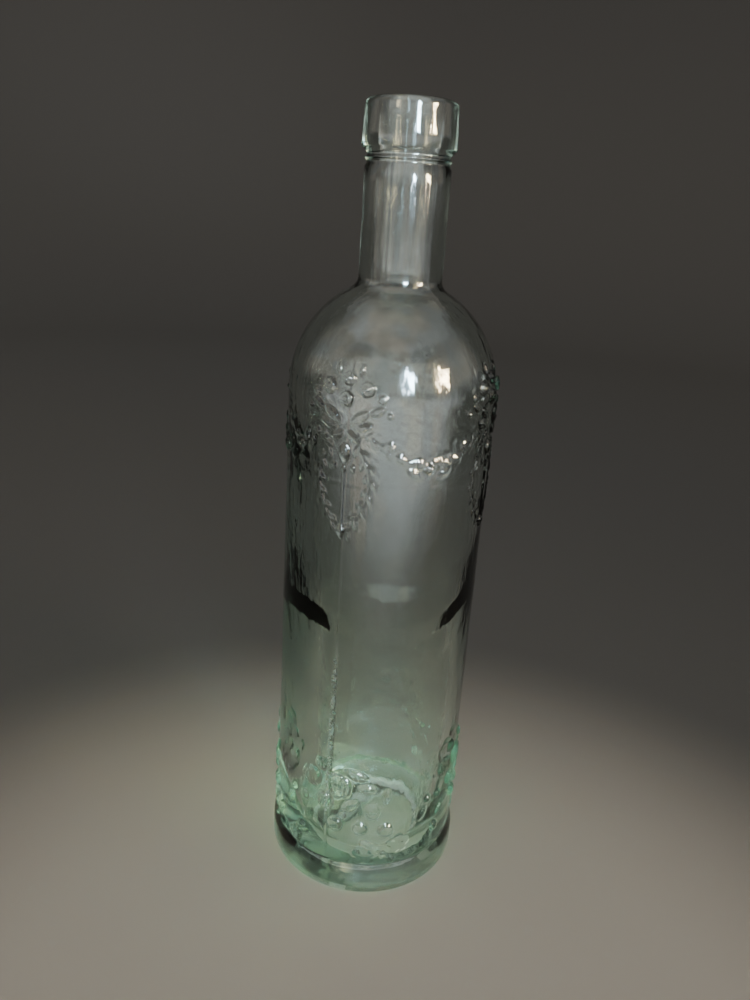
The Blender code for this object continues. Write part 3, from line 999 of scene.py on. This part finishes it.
bent = vector_of(
    times_plus(reach, sine, skew_here["Z"]),
    times(times(reach, cosine), -1.0),
    plus(skewed, times_plus(outward["Z"], lift, profile["Z"])),
)
wrapped = place(skin, "GeometryNodeSetPosition", {"Geometry": grid[0], "Position": bent})
closed = place(skin, "GeometryNodeMergeByDistance", {
    "Geometry": wrapped[0], "Distance": MERGE_DISTANCE,
})
smooth = place(skin, "GeometryNodeSetShadeSmooth", {"Geometry": closed[0]})
finish_tree(smooth[0], entry["Glass"])
print("skin tree:", len(skin.nodes), "nodes")

# %% [markdown]
# The glass is a clear shader with a real refractive index and a little colour in its depth, not on
# its surface: the volume absorbs red light first, so thin walls look almost clear and the thick
# base, the heel and the edges turn bottle green, as in recycled glass. A ripple group moves the
# surface's normals a little, drawn out upwards as the glass was drawn, so that windows mirrored
# in it have ragged edges. The heel band, which slides over tables, is scuffed to a soft frost, and
# the low part of the mould's seam carries rough specks of grit that catch the light.

# %% Ripples of blown glass as a node group
STREAK_DRAWN_OUT = 0.22
ripple, entry = new_group("ShaderNodeTree", "blown_ripple", [
    ("Broad scale", "Float", 95.0),
    ("Fine scale", "Float", 620.0),
    ("Fine share", "Float", 0.2),
    ("Drawn out", "Float", 0.45),
    ("Streak scale", "Float", 330.0),
    ("Streak share", "Float", 0.4),
], [("Height", "Float")])
spot = split(place(ripple, "ShaderNodeTexCoord")["Object"])
drawn = vector_of(spot["X"], spot["Y"], times(spot["Z"], entry["Drawn out"]))
streaked = vector_of(spot["X"], spot["Y"], times(spot["Z"], STREAK_DRAWN_OUT))
broad = noise_of(drawn, entry["Broad scale"], detail=1.5, distortion=0.6)
fine = noise_of(drawn, entry["Fine scale"], detail=2.0)
streak = noise_of(streaked, entry["Streak scale"], detail=1.0)
mixed = times_plus(fine, entry["Fine share"], broad)
mixed = times_plus(streak, entry["Streak share"], mixed)
place(ripple, "NodeGroupOutput", {"Height": mixed})
print("ripple group:", len(ripple.nodes), "nodes")


# %% Helpers for materials
def new_material(name, values):
    """A material, its tree, and its Principled shader with these values."""
    material = bpy.data.materials.new(name)
    material.use_nodes = True
    tree = material.node_tree
    return material, tree, feed(tree.nodes["Principled BSDF"], values)


def band(value, limits):
    """1 between the two middle limits, 0 outside the outer two."""
    start, full, fading, end = limits
    return times(smooth_range(value, start, full), smooth_range(value, end, fading))


def blend(factor, first, second):
    """The first colour where the factor is 0, the second where it is 1."""
    return place(factor.id_data, "ShaderNodeMix", {
        "Factor": factor, "A": first, "B": second,
    }, data_type="RGBA")["Result"]


# %% The glass
GLASS_IOR = 1.52
GLASS_TINT = (0.3, 0.80, 0.58, 1)
GLASS_DENSITY = 14.0
SHADOW_TINT = (0.90, 0.92, 0.91, 1)
RIPPLE_DEPTH = 0.2 * MM
FROST_BAND = (2.4 * MM, 4.6 * MM, 9.5 * MM, 13.0 * MM)
FROST_EDGE = 4.0 * MM
FROST_EDGE_SCALE = 140.0
FROST_ROUGHNESS = 0.2
SCUFF_SCALE = 500.0
SCUFF_ROUGHNESS = 0.035
SPARKLE_BAND = (26.0 * MM, 50.0 * MM, 100.0 * MM, 120.0 * MM)
SPARKLE_DEPTH = 1.0 * MM
SPARKLE_ROUGHNESS = 0.6
SPARKLE_HALF_WIDTH = 1.5 * MM
GRIT_SCALE = 800.0
SPECK_START = 0.46
SPECK_END = 0.6
glass, glass_tree, glass_shader = new_material("recycled_green_glass", {
    "Base Color": (0.985, 1.0, 0.99, 1), "IOR": GLASS_IOR, "Transmission Weight": 1.0,
})
ripples = place(glass_tree, "ShaderNodeGroup", node_tree=ripple)
wavy = place(glass_tree, "ShaderNodeBump", {
    "Height": ripples["Height"], "Distance": RIPPLE_DEPTH, "Strength": 1.0,
})
object_spot = place(glass_tree, "ShaderNodeTexCoord")["Object"]
glass_spot = split(object_spot)
ragged = noise_of(object_spot, FROST_EDGE_SCALE, detail=2.0)
ragged_height = times_plus(ragged, FROST_EDGE, minus(glass_spot["Z"], FROST_EDGE / 2))
scuffs = noise_of(object_spot, SCUFF_SCALE, detail=2.0)
worn = times_plus(scuffs, 0.5 * FROST_ROUGHNESS, 0.75 * FROST_ROUGHNESS)
frost = times(band(ragged_height, FROST_BAND), worn)
glass_radius = vector_math("LENGTH", vector_of(glass_spot["X"], glass_spot["Y"], 0.0))
glass_turn = math_of("ARCTAN2", glass_spot["X"], times(glass_spot["Y"], -1.0))
from_seam = times(math_of("ABSOLUTE", minus(glass_turn, SEAM_TURN)), BODY_RADIUS)
on_seam = times(
    smooth_range(from_seam, SPARKLE_HALF_WIDTH, 0.3 * SPARKLE_HALF_WIDTH),
    math_of("GREATER_THAN", glass_radius, BODY_RADIUS - BODY_WALL / 2),
)
sparkle_mask = times(on_seam, band(glass_spot["Z"], SPARKLE_BAND))
grit = noise_of(object_spot, GRIT_SCALE, detail=2.0)
specks = times(smooth_range(grit, SPECK_START, SPECK_END), sparkle_mask)
worn_seam = times_plus(specks, SPARKLE_ROUGHNESS, frost)
rough_seam = place(glass_tree, "ShaderNodeBump", {
    "Height": times(grit, sparkle_mask), "Distance": SPARKLE_DEPTH, "Strength": 1.0,
    "Normal": wavy["Normal"],
})
feed(glass_shader, {
    "Roughness": times_plus(scuffs, SCUFF_ROUGHNESS, worn_seam),
    "Normal": rough_seam["Normal"],
})
shade = place(glass_tree, "ShaderNodeBsdfTransparent", {"Color": SHADOW_TINT})
for_lamps = place(glass_tree, "ShaderNodeLightPath")["Is Shadow Ray"]
lit = place(glass_tree, "ShaderNodeMixShader", {
    0: for_lamps, 1: glass_shader.outputs[0], 2: shade[0],
})
depth = place(glass_tree, "ShaderNodeVolumeAbsorption", {
    "Color": GLASS_TINT, "Density": GLASS_DENSITY,
})
feed(glass_tree.nodes["Material Output"], {"Surface": lit[0], "Volume": depth[0]})
print("glass index:", GLASS_IOR, "nodes:", len(glass_tree.nodes))

# %% Make the bottle
bottle = add_object("bottle_glass", bpy.data.meshes.new("bottle_glass"))
bottle.data = run_tree(bottle, skin, {
    "Half section": section, "Ornament": ornament, "Glass": glass,
})
check = bmesh.new()
check.from_mesh(bottle.data)
if check.calc_volume(signed=True) < 0:
    bmesh.ops.reverse_faces(check, faces=check.faces)
    check.to_mesh(bottle.data)
open_edges = sum(1 for e in check.edges if len(e.link_faces) != 2)
volume = check.calc_volume(signed=True)
triangles = sum(len(f.verts) - 2 for f in check.faces)
check.free()
millilitres = round(volume * 1e6, 1)
print("bottle:", triangles, "triangles,", open_edges, "open edges, glass in ml:", millilitres)
for guide in list(guides.objects):
    bpy.data.objects.remove(guide, do_unlink=True)
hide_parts(NODE)
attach(bottle, "root")

# %% [markdown]
# The stage is a plain pale floor that bends up into a wall far outside the lights, so that no
# edge shows behind the glass. Clear glass has no colour of its own to show: it is drawn by what it
# mirrors and bends. So a painted pool of light makes the sweep palest where the bottle stands and
# darker behind it, in painted shade; and it glows softly in front of the bottle and beside it, out
# of the camera's sight, where a room would.

# %% Floor
FLOOR_RADIUS = 1.5
SWEEP_RADIUS = 0.9
SWEEP_STEPS = 16
SWEEP_SIDES = 96
WALL_HEIGHT = 2.6
sweep_section = [(0, 0), (0.5, 0), (1.0, 0)]
sweep_section += arc((FLOOR_RADIUS, SWEEP_RADIUS), SWEEP_RADIUS, -90, 0, SWEEP_STEPS)
sweep_section.append((FLOOR_RADIUS + SWEEP_RADIUS, WALL_HEIGHT))
sweep_mesh = bmesh.new()
sweep_rows = []
for r, z in sweep_section:
    turns = [tau * i / SWEEP_SIDES for i in range(SWEEP_SIDES if r > 0 else 1)]
    sweep_rows.append([sweep_mesh.verts.new((r * cos(t), r * sin(t), z)) for t in turns])
join_rings(sweep_mesh, sweep_rows[0][0], sweep_rows[1:])
for face in sweep_mesh.faces:
    face.smooth = True
floor_mesh = bpy.data.meshes.new("studio_floor")
sweep_mesh.to_mesh(floor_mesh)
sweep_mesh.free()
studio_floor = add_object("studio_floor", floor_mesh)
print("sweep:", len(floor_mesh.polygons), "faces")

# %% [markdown]
# What clear glass shows is the room round it. One node group gives the soft light of that room by
# direction: broad bands of light and shade in two faint tints. The world behind everything uses
# it, and so does the paper where it glows, so that both look like the same room.

# %% The soft light of the room as a node group
BAND_EDGES = (0.40, 0.60)
TINT_SCALE = 2.3
TINT_EDGES = (0.44, 0.58)
COOL_LIGHT = (0.93, 0.98, 1.0, 1)
WARM_LIGHT = (1.0, 0.92, 0.80, 1)
room_light, entry = new_group("ShaderNodeTree", "room_light", [
    ("Direction", "Vector", None),
    ("Bands", "Float", 1.9),
    ("Darkest", "Float", 0.72),
    ("Brightest", "Float", 1.12),
], [("Strength", "Float"), ("Color", "Color")])
around = vector_math("NORMALIZE", entry["Direction"])
bands = noise_of(around, entry["Bands"], detail=2.0, roughness=0.55)
tints = noise_of(around, TINT_SCALE, detail=1.0)
place(room_light, "NodeGroupOutput", {
    "Strength": smooth_range(bands, *BAND_EDGES, entry["Darkest"], entry["Brightest"]),
    "Color": blend(smooth_range(tints, *TINT_EDGES), COOL_LIGHT, WARM_LIGHT),
})
print("room light group:", len(room_light.nodes), "nodes")

# %% [markdown]
# The paper's colour holds a painted pool of light: palest round the bottle, with painted shade
# darkening it outwards, so that the raised glass has something dark to bend in. Its glow starts in
# front of the bottle, below the picture's lower edge, and fades as the sweep climbs. A weaker glow
# stands on both sides, where the shoulder mirrors it.

# %% Paper of the floor
FRONT_LIGHT = 1.4
# Painted pool of light: the paper's colour is pale round the bottle and darker outwards, a light
# falloff painted into the colour.
PAINTED_POOL_MIDDLE = (0.01, -0.12, 0.0)
PAINTED_POOL_EDGES = (0.13, 0.31)
PAPER_IN_PAINTED_LIGHT = (0.26, 0.235, 0.205, 1)
PAPER_IN_PAINTED_SHADE = (0.052, 0.050, 0.048, 1)
ROOM_MIDDLE = (0.0, 0.0, 0.15)
FRONT_EDGES = (-0.19, -0.56)
FRONT_FADE_HEIGHT = 0.25
FRONT_LOW = 1.95
FRONT_FADE = -1.15
SIDE_HEIGHTS = (0.1, 0.6)
SIDE_EDGES = (1.3, 0.2)
SIDE_SHARE = 0.6
paper, paper_tree, paper_shader = new_material("pale_paper", {
    "Roughness": 0.8, "Specular IOR Level": 0.2,
})
paper_spot = place(paper_tree, "ShaderNodeTexCoord")["Object"]
paper_way = split(paper_spot)
# Painted falloff: 0 inside the painted pool of light round the bottle, 1 in the painted shade
# outside it.
painted_falloff = smooth_range(vector_math("DISTANCE", paper_spot, PAINTED_POOL_MIDDLE), *PAINTED_POOL_EDGES)
from_room_middle = vector_math("SUBTRACT", paper_spot, ROOM_MIDDLE)
room = place(paper_tree, "ShaderNodeGroup", {0: from_room_middle}, node_tree=room_light)
fading = times_plus(smooth_range(paper_way["Z"], 0.0, FRONT_FADE_HEIGHT), FRONT_FADE, FRONT_LOW)
front_share = times(smooth_range(paper_way["Y"], *FRONT_EDGES), fading)
side_share = times(
    smooth_range(paper_way["Z"], *SIDE_HEIGHTS),
    times(smooth_range(paper_way["Y"], *SIDE_EDGES), SIDE_SHARE),
)
# The base colour carries the painted pool of light and the painted shade round it.
feed(paper_shader, {
    "Base Color": blend(painted_falloff, PAPER_IN_PAINTED_LIGHT, PAPER_IN_PAINTED_SHADE),
    "Emission Color": room["Color"],
    "Emission Strength": times(
        times(room["Strength"], FRONT_LIGHT), math_of("MAXIMUM", front_share, side_share)
    ),
})
floor_mesh.materials.append(paper)
print("paper:", len(paper_tree.nodes), "nodes")

# %% [markdown]
# The camera stands where the photograph was taken from: a hand's height above the middle of the
# bottle, near, looking down a little, with the phone turned a few degrees. Its distance and
# angles were fitted to the bottle's outline.

# %% Camera
IMAGE_HEIGHT = 1000
FOCAL_PIXELS = 800.0
SENSOR_SIZE = 36
CAMERA_PLACE = Vector((0, -303.4, 271.6)) * MM
CAMERA_PITCH = radians(19.72)
CAMERA_YAW = radians(-0.72)
CAMERA_ROLL = radians(3.83)
camera_data = set_all(bpy.data.cameras.new("camera"), {
    "sensor_fit": "VERTICAL", "sensor_height": SENSOR_SIZE, "sensor_width": SENSOR_SIZE,
    "lens": SENSOR_SIZE * FOCAL_PIXELS / IMAGE_HEIGHT, "clip_start": 10 * MM,
})
camera = add_object("camera", camera_data)
aim = Vector((
    sin(CAMERA_YAW) * cos(CAMERA_PITCH),
    cos(CAMERA_YAW) * cos(CAMERA_PITCH),
    -sin(CAMERA_PITCH),
))
level = Vector((cos(CAMERA_YAW), -sin(CAMERA_YAW), 0))
above = level.cross(aim)
right = cos(CAMERA_ROLL) * level + sin(CAMERA_ROLL) * above
up = -sin(CAMERA_ROLL) * level + cos(CAMERA_ROLL) * above
camera_turn = Matrix((right, up, -aim)).transposed().to_4x4()
camera.matrix_world = Matrix.Translation(CAMERA_PLACE) @ camera_turn
bpy.context.scene.camera = camera
print("lens in mm:", camera_data.lens)

# %% [markdown]
# The light comes from four places. The world is brightest in front and dim behind. Two windows to
# the front right, one cool and one warm, show as a pair of ragged highlights on the shoulder; a
# noise in their own trees breaks them up like a curtain. Two spot lamps light only the paper: one
# makes the pool of light round the bottle, the other a faint glow on the wall.

# %% The world
SKY_EDGES = (0.55, -0.35)
SKY_FRONT = 0.95
SKY_BEHIND = 0.3
world = bpy.data.worlds.new("studio")
bpy.context.scene.world = world
world.use_nodes = True
sky = world.node_tree
sky_way = place(sky, "ShaderNodeTexCoord")["Generated"]
open_top = place(sky, "ShaderNodeGroup", {0: sky_way}, node_tree=room_light)
facing_front = smooth_range(split(sky_way)["Y"], *SKY_EDGES)
frontal = times_plus(facing_front, SKY_FRONT * FRONT_LIGHT, SKY_BEHIND * FRONT_LIGHT)
feed(sky.nodes["Background"], {
    "Strength": times(open_top["Strength"], frontal), "Color": open_top["Color"],
})
print("world:", len(sky.nodes), "nodes")

# %% Lights
PANE_EDGES = (0.5, 0.16)
CURTAIN_SCALE = 4.5
CURTAIN_DRAWN_OUT = 0.4
CURTAIN_FADE = 0.4
CURTAIN_EDGES = (0.86, 0.95)
CURTAIN_LEAST = 0.01
WINDOW_HEIGHT = 0.92
WINDOW_POWER = 44.0
WINDOW_SPREAD = radians(44)


def new_lamp(kind, name, place_m, aim_m, unseen_by, **settings):
    """A lamp turned towards a point, with these settings and unseen by some kinds of ray."""
    data = set_all(bpy.data.lights.new(name, kind), settings)
    lamp = set_all(add_object(name, data), {"visible_" + ray: False for ray in unseen_by})
    lamp.location = place_m
    lamp.rotation_euler = (Vector(aim_m) - Vector(place_m)).to_track_quat("-Z", "Y").to_euler()
    return data


def pane_share(across):
    """1 in the middle of a pane and 0 at both of its edges; across runs from 0 to 1."""
    return smooth_range(math_of("ABSOLUTE", minus(across, 0.5)), *PANE_EDGES)


def window(name, place_m, width, color):
    """A window-shaped light, bright in its middle, uneven, and fading to its edge.

    It shows in the glass but leaves the floor to the pool of light.
    """
    tree = new_lamp(
        "AREA", name, place_m, (0, 0, TOTAL_HEIGHT / 2), ("camera", "diffuse"),
        shape="RECTANGLE", size=width, size_y=WINDOW_HEIGHT, spread=WINDOW_SPREAD,
        color=color, energy=WINDOW_POWER, use_nodes=True,
    ).node_tree
    pane = split(place(tree, "ShaderNodeNewGeometry")["Parametric"])
    fade = times(pane_share(pane["X"]), pane_share(pane["Y"]))
    folds = vector_of(pane["X"], times(pane["Y"], CURTAIN_DRAWN_OUT), 0.0)
    curtain = noise_of(folds, CURTAIN_SCALE, detail=3.0, roughness=0.7)
    uneven = smooth_range(times_plus(fade, CURTAIN_FADE, curtain), *CURTAIN_EDGES)
    glow = times(times_plus(uneven, 1 - CURTAIN_LEAST, CURTAIN_LEAST), fade)
    feed(tree.nodes["Emission"], {"Strength": glow})


def spot_lamp(name, place_m, aim_m, energy, spread, size, color=(1.0, 1.0, 1.0)):
    """A soft spot that lights the paper and doesn't show in the glass."""
    new_lamp(
        "SPOT", name, place_m, aim_m, ("glossy", "transmission"), energy=energy, color=color,
        spot_size=radians(spread), spot_blend=1.0, shadow_soft_size=size,
    )


window("cool_window", (0.32, -1.05, 0.50), 0.44, (0.58, 0.83, 1.0))
window("warm_window", (0.90, -0.62, 0.50), 0.60, (1.0, 0.78, 0.46))
spot_lamp("backdrop_glow", (-0.6, 0.9, 1.5), (-0.75, 2.3, 0.75), 14, 56, 0.2)
spot_lamp("pool", (0.05, -0.20, 1.05), (0.02, -0.14, 0), 4, 38, 0.12, (1.0, 0.97, 0.93))
print("lamps, W:", {lamp.name: lamp.energy for lamp in bpy.data.lights})
